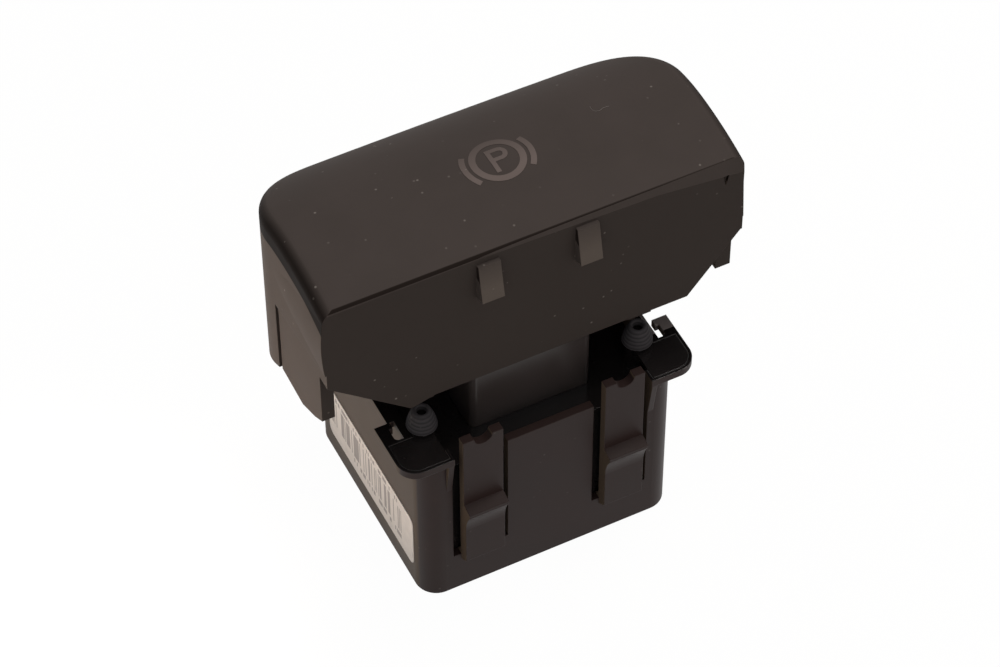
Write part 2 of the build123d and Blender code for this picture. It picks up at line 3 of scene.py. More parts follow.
import bpy
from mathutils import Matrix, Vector


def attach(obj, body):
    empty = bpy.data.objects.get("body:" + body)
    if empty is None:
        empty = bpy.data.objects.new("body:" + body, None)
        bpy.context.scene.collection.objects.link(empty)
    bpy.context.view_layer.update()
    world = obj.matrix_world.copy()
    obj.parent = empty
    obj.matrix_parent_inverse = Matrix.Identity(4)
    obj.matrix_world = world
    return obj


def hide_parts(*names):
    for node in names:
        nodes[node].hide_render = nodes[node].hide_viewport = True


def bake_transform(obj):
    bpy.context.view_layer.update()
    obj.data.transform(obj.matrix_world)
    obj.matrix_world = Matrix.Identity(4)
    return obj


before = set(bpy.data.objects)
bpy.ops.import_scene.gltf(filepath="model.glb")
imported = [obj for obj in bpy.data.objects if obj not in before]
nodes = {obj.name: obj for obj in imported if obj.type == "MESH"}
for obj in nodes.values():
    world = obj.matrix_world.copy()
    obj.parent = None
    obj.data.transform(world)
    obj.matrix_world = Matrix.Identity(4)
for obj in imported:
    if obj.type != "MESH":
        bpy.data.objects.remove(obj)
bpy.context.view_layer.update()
mm = 0.001
print("frame loaded:", len(nodes), "nodes")


def srgb(hexText):
    # sRGB hex to the linear values that Blender wants
    values = []
    for i in (1, 3, 5):
        c = int(hexText[i:i + 2], 16) / 255
        values.append(c / 12.92 if c <= 0.04045 else ((c + 0.055) / 1.055) ** 2.4)
    return (*values, 1.0)


def newMaterial(name):
    mat = bpy.data.materials.new(name)
    mat.use_nodes = True
    tree = mat.node_tree
    tree.nodes.clear()
    return mat, tree


def add(tree, kind, settings=None, inputs=None):
    # adds one node, sets its properties, then its sockets (a value or another node's output)
    node = tree.nodes.new(kind)
    for key, value in (settings or {}).items():
        setattr(node, key, value)
    for key, value in (inputs or {}).items():
        if isinstance(value, bpy.types.NodeSocket):
            tree.links.new(value, node.inputs[key])
        else:
            node.inputs[key].default_value = value
    return node


def paint(names, mat):
    # gives CAD nodes (by name) or new pieces this material in every slot
    for name in names:
        obj = nodes[name] if isinstance(name, str) else name
        if not obj.material_slots:
            obj.data.materials.append(mat)
        for slot in obj.material_slots:
            slot.material = mat


# moulded plastics: one look function, values per plastic. Lengths in mm.
# grain is the mould's spark-eroded texture, drawn coarser than the real 0.1 mm so that it shows
plasticLooks = {
    # painted ABS, soft black, light scatters wide with hardly any gloss
    "capAbs": dict(color="#4b4441", shade="#433d3a", edge="#5e5550", rough=0.60, level=0.03,
                   grain=0.32, bump=0.10, dust=0.30, edgeRound=0.22, wear=0.35),
    # glass-filled nylon, satin, a little redder than the cap
    "housingNylon": dict(color="#302422", shade="#281e1c", edge="#453733", rough=0.42, level=0.10,
                         grain=0.5, bump=0.06, dust=0.10, edgeRound=0.18, wear=0.4),
    # polished polycarbonate, near black, mirrors the white room
    "framePolycarbonate": dict(color="#232020", shade="#191717", edge="#2c2a29", rough=0.16,
                               level=0.4, grain=0.9, bump=0.02, dust=0.06, edgeRound=0.15,
                               wear=0.2),
    # acetal slider, smooth and slightly waxy
    "carriageAcetal": dict(color="#3d3736", shade="#342e2c", edge="#4a4340", rough=0.30, level=0.4,
                           grain=0.6, bump=0.03, dust=0.06, edgeRound=0.18, wear=0.3),
    "coverNylon": dict(color="#231c1b", shade="#1a1514", edge="#332b28", rough=0.45, level=0.2,
                       grain=0.5, bump=0.06, dust=0.05, edgeRound=0.18, wear=0.3),
    # moulded rubber of the buffer bells, chalky from its release agent
    "bufferRubber": dict(color="#4c494b", shade="#3c3a3c", edge="#575456", rough=0.75, level=0.1,
                         grain=0.4, bump=0.08, dust=0.12, edgeRound=0.08, wear=0.3),
    # the chips' epoxy, dull black with a fine sandy face
    "chipEpoxy": dict(color="#1c1c1d", shade="#141415", edge="#2b2b2c", rough=0.5, level=0.3,
                      grain=0.15, bump=0.12, dust=0.05, edgeRound=0.05, wear=0.2),
    # pale moulded bodies of the light-emitting diodes
    "ledBody": dict(color="#e2dfcf", shade="#d3cdb4", edge="#efece0", rough=0.35, level=0.5,
                    grain=0.4, bump=0.02, dust=0.03, edgeRound=0.05, wear=0.2),
    # clear acrylic light rod, faintly smoky
    "guideAcrylic": dict(color="#dfe6e8", shade="#cfd8da", edge="#f2f5f5", rough=0.08, level=0.5,
                         grain=0.8, bump=0.01, dust=0.10, edgeRound=0.08, wear=0.2, clear=0.85),
    # the mark in the crown's paint, laser-cut to the lighter layer below
    "markLayer": dict(color="#726763", shade="#675d59", edge="#7a6f6a", rough=0.62, level=0.03,
                      grain=0.32, bump=0.06, dust=0.30, edgeRound=0.02, wear=0.2),
}

# what all plastics share: clouds of tone, worn edges, and dust as specks and short fibres
# (each size of cell in mm, its stretch, and the share of cells that stay bare)
mouldLook = dict(cloud=9.0, flatFrom=0.99, flatTo=0.85, smoother=0.04, rougher=0.05, relief=0.1,
                 cells=((1.5, 1.0, 0.90), (2.6, 1.0, 0.90), (6.5, 2.6, 0.86)), turn=(0.6, 0.3, 0.8),
                 speckCore=0.12, speckRim=0.26, dustColor="#b8b0a8")


def mouldedPlastic(name, look):
    mat, tree = newMaterial(name)
    place = add(tree, "ShaderNodeTexCoord").outputs["Object"]
    cloud = add(tree, "ShaderNodeTexNoise", None,
                {"Vector": place, "Scale": 1 / (mouldLook["cloud"] * mm), "Detail": 3.0})
    grain = add(tree, "ShaderNodeTexNoise", None,
                {"Vector": place, "Scale": 1 / (look["grain"] * mm), "Detail": 2.0})
    # worn edges: where the rounded normal leaves the flat one
    rounded = add(tree, "ShaderNodeBevel", {"samples": 6}, {"Radius": look["edgeRound"] * mm})
    flat = add(tree, "ShaderNodeNewGeometry")
    lean = add(tree, "ShaderNodeVectorMath", {"operation": "DOT_PRODUCT"},
               {0: rounded.outputs["Normal"], 1: flat.outputs["Normal"]})
    edge = add(tree, "ShaderNodeMapRange", None,
               {"Value": lean.outputs["Value"], "From Min": mouldLook["flatFrom"],
                "From Max": mouldLook["flatTo"], "To Min": 0.0, "To Max": look["wear"]})
    rubbed = add(tree, "ShaderNodeMath", {"operation": "MULTIPLY"},
                 {0: edge.outputs["Result"], 1: cloud.outputs["Fac"]})
    tone = add(tree, "ShaderNodeMix", {"data_type": "RGBA"},
               {"Factor": cloud.outputs["Fac"], "A": srgb(look["shade"]), "B": srgb(look["color"])})
    worn = add(tree, "ShaderNodeMix", {"data_type": "RGBA"},
               {"Factor": rubbed.outputs[0], "A": tone.outputs["Result"], "B": srgb(look["edge"])})
    # dust: the brightest of three sizes of cell
    amount = None
    turnX, turnY, turnZ = mouldLook["turn"]
    for cell, stretch, bare in mouldLook["cells"]:
        squeeze = add(tree, "ShaderNodeMapping", None,
                      {"Vector": place, "Rotation": (turnX, turnY, turnZ * stretch),
                       "Scale": (1, stretch, 1)})
        speck = add(tree, "ShaderNodeTexVoronoi", None,
                    {"Vector": squeeze.outputs["Vector"], "Scale": 1 / (cell * mm)})
        core = add(tree, "ShaderNodeMapRange", None,
                   {"Value": speck.outputs["Distance"], "From Min": mouldLook["speckCore"] / cell,
                    "From Max": mouldLook["speckRim"] / cell, "To Min": 1.0, "To Max": 0.0})
        draw = add(tree, "ShaderNodeSeparateColor", None, {"Color": speck.outputs["Color"]})
        rare = add(tree, "ShaderNodeMapRange", None,
                   {"Value": draw.outputs["Red"], "From Min": bare, "From Max": 1.0})
        dot = add(tree, "ShaderNodeMath", {"operation": "MULTIPLY"},
                  {0: core.outputs["Result"], 1: rare.outputs["Result"]})
        if amount:
            dot = add(tree, "ShaderNodeMath", {"operation": "MAXIMUM"},
                      {0: dot.outputs[0], 1: amount})
        amount = dot.outputs[0]
    dust = add(tree, "ShaderNodeMath", {"operation": "MULTIPLY"}, {0: amount, 1: look["dust"]})
    dusty = add(tree, "ShaderNodeMix", {"data_type": "RGBA"},
                {"Factor": dust.outputs[0], "A": worn.outputs["Result"],
                 "B": srgb(mouldLook["dustColor"])})
    roughness = add(tree, "ShaderNodeMapRange", None,
                    {"Value": cloud.outputs["Fac"], "To Min": look["rough"] - mouldLook["smoother"],
                     "To Max": look["rough"] + mouldLook["rougher"]})
    bump = add(tree, "ShaderNodeBump", None,
               {"Height": grain.outputs["Fac"], "Strength": look["bump"],
                "Distance": mouldLook["relief"] * mm, "Normal": rounded.outputs["Normal"]})
    shader = add(tree, "ShaderNodeBsdfPrincipled", None,
                 {"Base Color": dusty.outputs["Result"], "Roughness": roughness.outputs["Result"],
                  "Normal": bump.outputs["Normal"], "IOR": 1.5,
                  "Specular IOR Level": look["level"]})
    add(tree, "ShaderNodeOutputMaterial", None, {"Surface": shader.outputs["BSDF"]})
    return mat, tree, shader, worn


plastics = {name: mouldedPlastic(name, look) for name, look in plasticLooks.items()}
paint(["cap"], plastics["capAbs"][0])
paint(["guide_frame"], plastics["framePolycarbonate"][0])
paint(["carriage"], plastics["carriageAcetal"][0])
paint(["bottom_cover"], plastics["coverNylon"][0])
paint(["housing"], plastics["housingNylon"][0])
paint(["position_sensor_a", "position_sensor_b"], plastics["chipEpoxy"][0])
paint(["symbol_led", "status_led"], plastics["ledBody"][0])
paint(["light_guide"], plastics["guideAcrylic"][0])
rodShader = plastics["guideAcrylic"][2]
rodShader.inputs["Transmission Weight"].default_value = plasticLooks["guideAcrylic"]["clear"]
print("plastics done")


# the cap's walls below the painted crown: end walls of bare grained plastic with more gloss,
# painted lighter and browner from a line under the crown's curve down: painted floor light and
# sheen; front
# wall painted darker: painted shade; boss faces painted lighter: painted light. In mm
wallLook = dict(endPaintedLight="#53463d", endLevel=0.12, endFrom=34.0, facing=0.93, soft=0.03,
                crownTop=79.1, crownPeak=-1.9, crownFront=57.0, crownRear=30.4, paintDeep=4.6,
                paintSoft=0.3, frontPaintedShade="#3b3532", bossPaintedLight="#5e5650", frontFace=-16.5,
                frontFacing=0.993, frontSoft=0.005, bossStep=0.35, bossFacing=0.9, bossTop=75.4,
                bossFull=70.5, bossLeast=0.25, edgeLow=73.0, edgeFrom=0.28, edgeTo=0.55,
                lipFrom=0.92, lipTo=0.96, rollPaintedShade="#211b18", rollFrom=0.18, rollFull=0.8)
capTree, capShader, capCoat = plastics["capAbs"][1:]
capPlace = add(capTree, "ShaderNodeTexCoord")
placeParts = add(capTree, "ShaderNodeSeparateXYZ", None, {"Vector": capPlace.outputs["Object"]})
wayOut = add(capTree, "ShaderNodeNewGeometry")
wayParts = add(capTree, "ShaderNodeSeparateXYZ", None, {"Vector": wayOut.outputs["Normal"]})
sideways = add(capTree, "ShaderNodeMath", {"operation": "ABSOLUTE"}, {0: wayParts.outputs["X"]})
endFacing = add(capTree, "ShaderNodeMapRange", None,
                {"Value": sideways.outputs[0], "From Min": wallLook["facing"],
                 "From Max": wallLook["facing"] + wallLook["soft"]})
fromPeak = add(capTree, "ShaderNodeMath", {"operation": "SUBTRACT"},
               {0: placeParts.outputs["Y"], 1: wallLook["crownPeak"] * mm})
fromPeakSquare = add(capTree, "ShaderNodeMath", {"operation": "MULTIPLY"},
                     {0: fromPeak.outputs[0], 1: fromPeak.outputs[0]})
behindPeak = add(capTree, "ShaderNodeMath", {"operation": "GREATER_THAN"},
                 {0: fromPeak.outputs[0], 1: 0.0})
curve = add(capTree, "ShaderNodeMapRange", None,
            {"Value": behindPeak.outputs[0], "To Min": 0.5 / (wallLook["crownFront"] * mm),
             "To Max": 0.5 / (wallLook["crownRear"] * mm)})
crownFall = add(capTree, "ShaderNodeMath", {"operation": "MULTIPLY_ADD"},
                {0: fromPeakSquare.outputs[0], 1: curve.outputs["Result"],
                 2: placeParts.outputs["Z"]})
paintEnd = wallLook["crownTop"] - wallLook["paintDeep"]
paintLine = add(capTree, "ShaderNodeMapRange", None,
                {"Value": crownFall.outputs[0], "From Min": paintEnd * mm,
                 "From Max": (paintEnd - wallLook["paintSoft"]) * mm})
outward = add(capTree, "ShaderNodeMath", {"operation": "ABSOLUTE"}, {0: placeParts.outputs["X"]})
atEnd = add(capTree, "ShaderNodeMath", {"operation": "GREATER_THAN"},
            {0: outward.outputs[0], 1: wallLook["endFrom"] * mm})
endBelow = add(capTree, "ShaderNodeMath", {"operation": "MULTIPLY"},
               {0: atEnd.outputs[0], 1: paintLine.outputs["Result"]})
endMask = add(capTree, "ShaderNodeMath", {"operation": "MULTIPLY"},
              {0: endFacing.outputs["Result"], 1: endBelow.outputs[0]})
# front wall: painted darker, painted shade
frontFacing = add(capTree, "ShaderNodeMapRange", None,
                  {"Value": wayParts.outputs["Y"], "From Min": -wallLook["frontFacing"],
                   "From Max": -wallLook["frontFacing"] - wallLook["frontSoft"]})
inFront = add(capTree, "ShaderNodeMath", {"operation": "LESS_THAN"},
              {0: placeParts.outputs["Y"], 1: (wallLook["frontFace"] - wallLook["bossStep"]) * mm})
# boss faces: painted lighter, more toward their foot: painted light where they tilt up
bossFacing = add(capTree, "ShaderNodeMath", {"operation": "LESS_THAN"},
                 {0: wayParts.outputs["Y"], 1: -wallLook["bossFacing"]})
bossLow = add(capTree, "ShaderNodeMapRange", None,
              {"Value": placeParts.outputs["Z"], "From Min": wallLook["bossTop"] * mm,
               "From Max": wallLook["bossFull"] * mm, "To Min": wallLook["bossLeast"],
               "To Max": 1.0})
onBoss = add(capTree, "ShaderNodeMath", {"operation": "MULTIPLY"},
             {0: inFront.outputs[0], 1: bossFacing.outputs[0]})
bossLightMask = add(capTree, "ShaderNodeMath", {"operation": "MULTIPLY"},
               {0: onBoss.outputs[0], 1: bossLow.outputs["Result"]})
withFrontShade = add(capTree, "ShaderNodeMix", {"data_type": "RGBA"},
               {"Factor": frontFacing.outputs["Result"],
                "A": capCoat.inputs["A"].links[0].from_socket, "B": srgb(wallLook["frontPaintedShade"])})
withBossLight = add(capTree, "ShaderNodeMix", {"data_type": "RGBA"},
                {"Factor": bossLightMask.outputs[0], "A": withFrontShade.outputs["Result"],
                 "B": srgb(wallLook["bossPaintedLight"])})
# the small roll between crown and front wall, above the lip: painted darker, painted shade
forward = add(capTree, "ShaderNodeMath", {"operation": "MULTIPLY"},
              {0: wayParts.outputs["Y"], 1: -1.0})
edgeStart = add(capTree, "ShaderNodeMapRange", None,
                {"Value": forward.outputs[0], "From Min": wallLook["edgeFrom"],
                 "From Max": wallLook["edgeTo"]})
edgeEnd = add(capTree, "ShaderNodeMapRange", None,
              {"Value": forward.outputs[0], "From Min": wallLook["lipTo"],
               "From Max": wallLook["lipFrom"]})
edgeBand = add(capTree, "ShaderNodeMath", {"operation": "MULTIPLY"},
               {0: edgeStart.outputs["Result"], 1: edgeEnd.outputs["Result"]})
edgeHigh = add(capTree, "ShaderNodeMath", {"operation": "GREATER_THAN"},
               {0: placeParts.outputs["Z"], 1: wallLook["edgeLow"] * mm})
edgeMask = add(capTree, "ShaderNodeMath", {"operation": "MULTIPLY"},
               {0: edgeBand.outputs[0], 1: edgeHigh.outputs[0]})
# the roll from crown to end wall is painted darkest: painted shade
rollFacing = add(capTree, "ShaderNodeMapRange", None,
                 {"Value": sideways.outputs[0], "From Min": wallLook["rollFrom"],
                  "From Max": wallLook["rollFull"]})
aboveLine = add(capTree, "ShaderNodeMath", {"operation": "SUBTRACT"},
                {0: 1.0, 1: paintLine.outputs["Result"]})
endRollShade = add(capTree, "ShaderNodeMath", {"operation": "MULTIPLY"},
              {0: rollFacing.outputs["Result"], 1: aboveLine.outputs[0]})
rollShadeMask = add(capTree, "ShaderNodeMath", {"operation": "MAXIMUM"},
               {0: endRollShade.outputs[0], 1: edgeMask.outputs[0]})
withRollShade = add(capTree, "ShaderNodeMix", {"data_type": "RGBA"},
               {"Factor": rollShadeMask.outputs[0], "A": withBossLight.outputs["Result"],
                "B": srgb(wallLook["rollPaintedShade"])})
# end walls painted lighter and browner: painted floor light and sheen; their specular level is
# raised below as well
withEndLight = add(capTree, "ShaderNodeMix", {"data_type": "RGBA"},
               {"Factor": endMask.outputs[0], "A": withRollShade.outputs["Result"],
                "B": srgb(wallLook["endPaintedLight"])})
capTree.links.new(withEndLight.outputs["Result"], capCoat.inputs["A"])
endLevel = add(capTree, "ShaderNodeMapRange", None,
               {"Value": endMask.outputs[0], "To Min": plasticLooks["capAbs"]["level"],
                "To Max": wallLook["endLevel"]})
capTree.links.new(endLevel.outputs["Result"], capShader.inputs["Specular IOR Level"])
print("cap walls done")


# the housing's lug tops: polished patches of the mould, from this height up on faces that look up
lugLook = dict(low=36.9, inner=17.6, upFrom=0.2, upFull=0.6, rough=0.14, level=0.5, color="#191616",
               tipOut=23.4, tipBack=14.1, tipLitColor="#7a7270")
lugTree, lugShader, housingCoat = plastics["housingNylon"][1:]
lugPlace = add(lugTree, "ShaderNodeTexCoord")
lugParts = add(lugTree, "ShaderNodeSeparateXYZ", None, {"Vector": lugPlace.outputs["Object"]})
lugWay = add(lugTree, "ShaderNodeNewGeometry")
lugWayParts = add(lugTree, "ShaderNodeSeparateXYZ", None, {"Vector": lugWay.outputs["Normal"]})
lugHigh = add(lugTree, "ShaderNodeMath", {"operation": "GREATER_THAN"},
              {0: lugParts.outputs["Z"], 1: lugLook["low"] * mm})
lugSide = add(lugTree, "ShaderNodeMath", {"operation": "ABSOLUTE"}, {0: lugParts.outputs["X"]})
lugOut = add(lugTree, "ShaderNodeMath", {"operation": "GREATER_THAN"},
             {0: lugSide.outputs[0], 1: lugLook["inner"] * mm})
lugUp = add(lugTree, "ShaderNodeMapRange", None,
            {"Value": lugWayParts.outputs["Z"], "From Min": lugLook["upFrom"],
             "From Max": lugLook["upFull"]})
lugZone = add(lugTree, "ShaderNodeMath", {"operation": "MULTIPLY"},
              {0: lugHigh.outputs[0], 1: lugOut.outputs[0]})
lugMask = add(lugTree, "ShaderNodeMath", {"operation": "MULTIPLY"},
              {0: lugZone.outputs[0], 1: lugUp.outputs["Result"]})
# the right hooks' tips are painted lighter: painted light
lugDeep = add(lugTree, "ShaderNodeMath", {"operation": "ABSOLUTE"}, {0: lugParts.outputs["Y"]})
tipBack = add(lugTree, "ShaderNodeMath", {"operation": "LESS_THAN"},
              {0: lugDeep.outputs[0], 1: lugLook["tipBack"] * mm})
tipOut = add(lugTree, "ShaderNodeMath", {"operation": "GREATER_THAN"},
             {0: lugParts.outputs["X"], 1: lugLook["tipOut"] * mm})
tipZone = add(lugTree, "ShaderNodeMath", {"operation": "MULTIPLY"},
              {0: tipBack.outputs[0], 1: tipOut.outputs[0]})
tipMask = add(lugTree, "ShaderNodeMath", {"operation": "MULTIPLY"},
              {0: tipZone.outputs[0], 1: lugHigh.outputs[0]})
lugRough = add(lugTree, "ShaderNodeMix", {"data_type": "FLOAT"},
               {"Factor": lugMask.outputs[0],
                "A": lugShader.inputs["Roughness"].links[0].from_socket, "B": lugLook["rough"]})
lugTree.links.new(lugRough.outputs["Result"], lugShader.inputs["Roughness"])
lugTone = add(lugTree, "ShaderNodeMix", {"data_type": "RGBA"},
              {"Factor": lugMask.outputs[0],
               "A": lugShader.inputs["Base Color"].links[0].from_socket,
               "B": srgb(lugLook["color"])})
tipLitTone = add(lugTree, "ShaderNodeMix", {"data_type": "RGBA"},
              {"Factor": tipMask.outputs[0], "A": lugTone.outputs["Result"],
               "B": srgb(lugLook["tipLitColor"])})
lugTree.links.new(tipLitTone.outputs["Result"], lugShader.inputs["Base Color"])
lugLevel = add(lugTree, "ShaderNodeMix", {"data_type": "FLOAT"},
               {"Factor": lugMask.outputs[0], "A": plasticLooks["housingNylon"]["level"],
                "B": lugLook["level"]})
lugTree.links.new(lugLevel.outputs["Result"], lugShader.inputs["Specular IOR Level"])
print("lug tops done")


# the housing's side walls: painted lighter and browner, a painted sheen of floor light, with a
# lower specular level
sideSheenLook = dict(color="#54483d", level=0.03, facing=0.93, full=0.98)
sideWay = add(lugTree, "ShaderNodeMath", {"operation": "ABSOLUTE"}, {0: lugWayParts.outputs["X"]})
sideMask = add(lugTree, "ShaderNodeMapRange", None,
               {"Value": sideWay.outputs[0], "From Min": sideSheenLook["facing"],
                "From Max": sideSheenLook["full"]})
sideSheenTone = add(lugTree, "ShaderNodeMix", {"data_type": "RGBA"},
               {"Factor": sideMask.outputs["Result"],
                "A": housingCoat.inputs["A"].links[0].from_socket, "B": srgb(sideSheenLook["color"])})
lugTree.links.new(sideSheenTone.outputs["Result"], housingCoat.inputs["A"])
sideLevel = add(lugTree, "ShaderNodeMix", {"data_type": "FLOAT"},
                {"Factor": sideMask.outputs["Result"], "A": lugLevel.outputs["Result"],
                 "B": sideSheenLook["level"]})
lugTree.links.new(sideLevel.outputs["Result"], lugShader.inputs["Specular IOR Level"])
print("side walls done")


# metals: base tone, duller patches and fine scratches along the piece's height. Lengths in mm
metalLooks = {
    # tinned brass blades
    "tinnedBrass": dict(color="#c9c3b4", dull="#9b9484", rough=0.28, patch=1.6, line=0.12,
                        stretch=0.08, bump=0.05),
    # cold-drawn spring wire, fine draw lines
    "springWire": dict(color="#a9a8a6", dull="#6f6d6a", rough=0.32, patch=1.2, line=0.08,
                       stretch=1.0, bump=0.08),
    # zinc-plated steel, faint yellow and blue bloom
    "zincSteel": dict(color="#b4b2a6", dull="#85877f", rough=0.35, patch=0.9, line=0.15,
                      stretch=1.0, bump=0.05),
    # nickel-plated magnet
    "nickelPlate": dict(color="#b3afa6", dull="#8c8880", rough=0.22, patch=2.4, line=0.2,
                        stretch=0.3, bump=0.03),
}
metalWear = dict(smoother=0.08, rougher=0.12, relief=0.05)  # shared by all four


def platedMetal(name, look):
    mat, tree = newMaterial(name)
    place = add(tree, "ShaderNodeTexCoord").outputs["Object"]
    patch = add(tree, "ShaderNodeTexNoise", None,
                {"Vector": place, "Scale": 1 / (look["patch"] * mm), "Detail": 4.0})
    long = add(tree, "ShaderNodeMapping", None, {"Vector": place, "Scale": (1, 1, look["stretch"])})
    line = add(tree, "ShaderNodeTexNoise", None,
               {"Vector": long.outputs["Vector"], "Scale": 1 / (look["line"] * mm), "Detail": 1.0})
    tone = add(tree, "ShaderNodeMix", {"data_type": "RGBA"},
               {"Factor": patch.outputs["Fac"], "A": srgb(look["color"]), "B": srgb(look["dull"])})
    roughness = add(tree, "ShaderNodeMapRange", None,
                    {"Value": patch.outputs["Fac"], "To Min": look["rough"] - metalWear["smoother"],
                     "To Max": look["rough"] + metalWear["rougher"]})
    bump = add(tree, "ShaderNodeBump", None,
               {"Height": line.outputs["Fac"], "Strength": look["bump"],
                "Distance": metalWear["relief"] * mm})
    shader = add(tree, "ShaderNodeBsdfPrincipled", None,
                 {"Base Color": tone.outputs["Result"], "Metallic": 1.0,
                  "Roughness": roughness.outputs["Result"], "Normal": bump.outputs["Normal"]})
    add(tree, "ShaderNodeOutputMaterial", None, {"Surface": shader.outputs["BSDF"]})
    return mat


metals = {name: platedMetal(name, look) for name, look in metalLooks.items()}
paint(["terminal_pins"], metals["tinnedBrass"])
paint(["upper_spring_left", "upper_spring_right", "lower_spring_left", "lower_spring_right"],
      metals["springWire"])
paint(["board_screws"], metals["zincSteel"])
paint(["sensor_magnet"], metals["nickelPlate"])
print("metals done")


# circuit board: green solder mask over copper tracks (bricks of track and gap), bare laminate at
# the edge. Lengths in mm
boardLook = dict(mask="#0f4a26", track="#1c6a38", edge="#8a7f45", trackWide=1.3, trackLong=5.2,
                 gap=0.3, rough=0.28, rougher=0.2, shift=0.37, cloud=2.5, bump=0.15, relief=0.04)
boardMat, boardTree = newMaterial("solderMask")
boardPlace = add(boardTree, "ShaderNodeTexCoord").outputs["Object"]
tracks = add(boardTree, "ShaderNodeTexBrick", {"offset": boardLook["shift"]},
             {"Vector": boardPlace, "Scale": 1 / mm, "Brick Width": boardLook["trackLong"],
              "Row Height": boardLook["trackWide"], "Mortar Size": boardLook["gap"],
              "Color1": srgb(boardLook["track"]), "Color2": srgb(boardLook["mask"]),
              "Mortar": srgb(boardLook["mask"])})
boardWay = add(boardTree, "ShaderNodeNewGeometry")
boardWayParts = add(boardTree, "ShaderNodeSeparateXYZ", None,
                    {"Vector": boardWay.outputs["Normal"]})
boardFlat = add(boardTree, "ShaderNodeMath", {"operation": "ABSOLUTE"},
                {0: boardWayParts.outputs["Z"]})
boardCloud = add(boardTree, "ShaderNodeTexNoise", None,
                 {"Vector": boardPlace, "Scale": 1 / (boardLook["cloud"] * mm), "Detail": 3.0})
boardTone = add(boardTree, "ShaderNodeMix", {"data_type": "RGBA"},
                {"Factor": boardFlat.outputs[0], "A": srgb(boardLook["edge"]),
                 "B": tracks.outputs["Color"]})
boardRough = add(boardTree, "ShaderNodeMapRange", None,
                 {"Value": boardCloud.outputs["Fac"], "To Min": boardLook["rough"],
                  "To Max": boardLook["rough"] + boardLook["rougher"]})
boardRelief = add(boardTree, "ShaderNodeBump", None,
                  {"Height": tracks.outputs["Fac"], "Strength": boardLook["bump"],
                   "Distance": boardLook["relief"] * mm})
boardShader = add(boardTree, "ShaderNodeBsdfPrincipled", None,
                  {"Base Color": boardTone.outputs["Result"],
                   "Roughness": boardRough.outputs["Result"],
                   "Normal": boardRelief.outputs["Normal"]})
add(boardTree, "ShaderNodeOutputMaterial", None, {"Surface": boardShader.outputs["BSDF"]})
paint(["circuit_board"], boardMat)
print("board done")


# label: coated paper with plain bars and rows of small marks, no writing. Lengths in mm on the left
# wall: front is the label's front edge, low its lower one; bars and rows are start, end, low and
# high from there; bare is the share of places without ink
labelLook = dict(paper="#e4ded8", stain="#d2cbc4", ink="#5c5350", front=-17.7, low=4.6, bar=0.30,
                 inked=0.6, bars=(4.6, 33.0, 3.9, 10.2),
                 rows=((4.6, 24.0, 2.2, 3.3), (6.0, 31.0, 10.8, 11.8)), mark=0.36, barBare=0.5,
                 rowBare=(0.4, 0.45), fibre=1.8, rough=0.55, level=0.15)
labelMat, labelTree = newMaterial("labelPaper")
labelPlace = add(labelTree, "ShaderNodeTexCoord").outputs["Object"]
labelParts = add(labelTree, "ShaderNodeSeparateXYZ", None, {"Vector": labelPlace})
along = add(labelTree, "ShaderNodeMath", {"operation": "MULTIPLY_ADD"},
            {0: labelParts.outputs["Y"], 1: 1 / mm, 2: -labelLook["front"]}).outputs[0]
up = add(labelTree, "ShaderNodeMath", {"operation": "MULTIPLY_ADD"},
         {0: labelParts.outputs["Z"], 1: 1 / mm, 2: -labelLook["low"]}).outputs[0]
printed = None
for (start, end, low, high), cell, share in ((labelLook["bars"], labelLook["bar"],
                                              labelLook["barBare"]),
                                             (labelLook["rows"][0], labelLook["mark"],
                                              labelLook["rowBare"][0]),
                                             (labelLook["rows"][1], labelLook["mark"],
                                              labelLook["rowBare"][1])):
    count = add(labelTree, "ShaderNodeMath", {"operation": "DIVIDE"}, {0: along, 1: cell})
    whole = add(labelTree, "ShaderNodeMath", {"operation": "FLOOR"}, {0: count.outputs[0]})
    draw = add(labelTree, "ShaderNodeTexWhiteNoise", {"noise_dimensions": "1D"},
               {"W": whole.outputs[0]})
    inked = add(labelTree, "ShaderNodeMath", {"operation": "GREATER_THAN"},
                {0: draw.outputs["Value"], 1: share})
    for value, low2, high2 in ((along, start, end), (up, low, high)):
        above = add(labelTree, "ShaderNodeMath", {"operation": "GREATER_THAN"}, {0: value, 1: low2})
        below = add(labelTree, "ShaderNodeMath", {"operation": "LESS_THAN"}, {0: value, 1: high2})
        within = add(labelTree, "ShaderNodeMath", {"operation": "MULTIPLY"},
                     {0: above.outputs[0], 1: below.outputs[0]})
        inked = add(labelTree, "ShaderNodeMath", {"operation": "MULTIPLY"},
                    {0: inked.outputs[0], 1: within.outputs[0]})
    if printed:
        inked = add(labelTree, "ShaderNodeMath", {"operation": "MAXIMUM"},
                    {0: inked.outputs[0], 1: printed})
    printed = inked.outputs[0]
fade = add(labelTree, "ShaderNodeMath", {"operation": "MULTIPLY"},
           {0: printed, 1: labelLook["inked"]})
fibre = add(labelTree, "ShaderNodeTexNoise", None,
            {"Vector": labelPlace, "Scale": 1 / (labelLook["fibre"] * mm), "Detail": 5.0})
paper = add(labelTree, "ShaderNodeMix", {"data_type": "RGBA"},
            {"Factor": fibre.outputs["Fac"], "A": srgb(labelLook["paper"]),
             "B": srgb(labelLook["stain"])})
labelTone = add(labelTree, "ShaderNodeMix", {"data_type": "RGBA"},
                {"Factor": fade.outputs[0], "A": paper.outputs["Result"],
                 "B": srgb(labelLook["ink"])})
labelShader = add(labelTree, "ShaderNodeBsdfPrincipled", None,
                  {"Base Color": labelTone.outputs["Result"], "Roughness": labelLook["rough"],
                   "Specular IOR Level": labelLook["level"]})
add(labelTree, "ShaderNodeOutputMaterial", None, {"Surface": labelShader.outputs["BSDF"]})
paint(["label"], labelMat)
print("label done")


